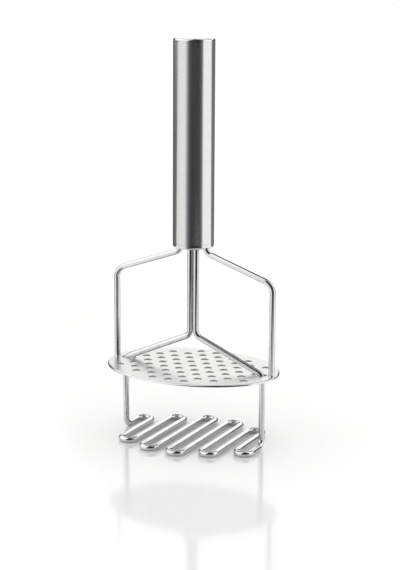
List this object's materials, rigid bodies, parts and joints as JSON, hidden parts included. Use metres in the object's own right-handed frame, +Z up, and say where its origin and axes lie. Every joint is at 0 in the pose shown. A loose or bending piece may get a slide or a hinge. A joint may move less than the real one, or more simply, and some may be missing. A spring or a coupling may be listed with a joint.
{
  "type": "potato ricer",
  "caption": "Hand potato ricer and masher: tubular handle, oval perforated plate on two frame wires, and a sprung serpentine masher wire that slides up towards the plate.",
  "frame": {"origin": "centre of the footprint, on the surface that the serpentine rests on, on the handle's axis", "axes": "+Z up along the handle's axis, X along the plate's long axis, Y along its short axis"},
  "size_m": [0.1208, 0.0886, 0.2687],
  "materials": {
    "satin_steel": "satin brushed round the handle",
    "polished_steel": "polished stainless steel",
    "plain_steel": "as drawn or turned",
    "nylon": "natural nylon"
  },
  "bodies": {
    "handle_frame": {"handle_tube": "satin_steel", "handle_top_cap": "satin_steel", "handle_bottom_cap": "satin_steel", "wire_anchor_block": "plain_steel", "rod_guide_bush": "nylon", "stop_washer": "nylon", "spring_seat": "nylon", "return_spring": "plain_steel", "frame_wire_left": "polished_steel", "frame_wire_right": "polished_steel", "ricer_plate": "polished_steel"},
    "masher": {"masher_wire": "polished_steel", "plunger_collar": "plain_steel"}
  },
  "joints": [
    {"name": "masher_slide", "type": "slide", "parent": "handle_frame", "child": "masher", "axis": [0, 0, 1], "range_m": [0, 0.0425], "stiffness_N_per_m": 400, "springref_m": -0.03, "deforming": ["return_spring"]}
  ]
}
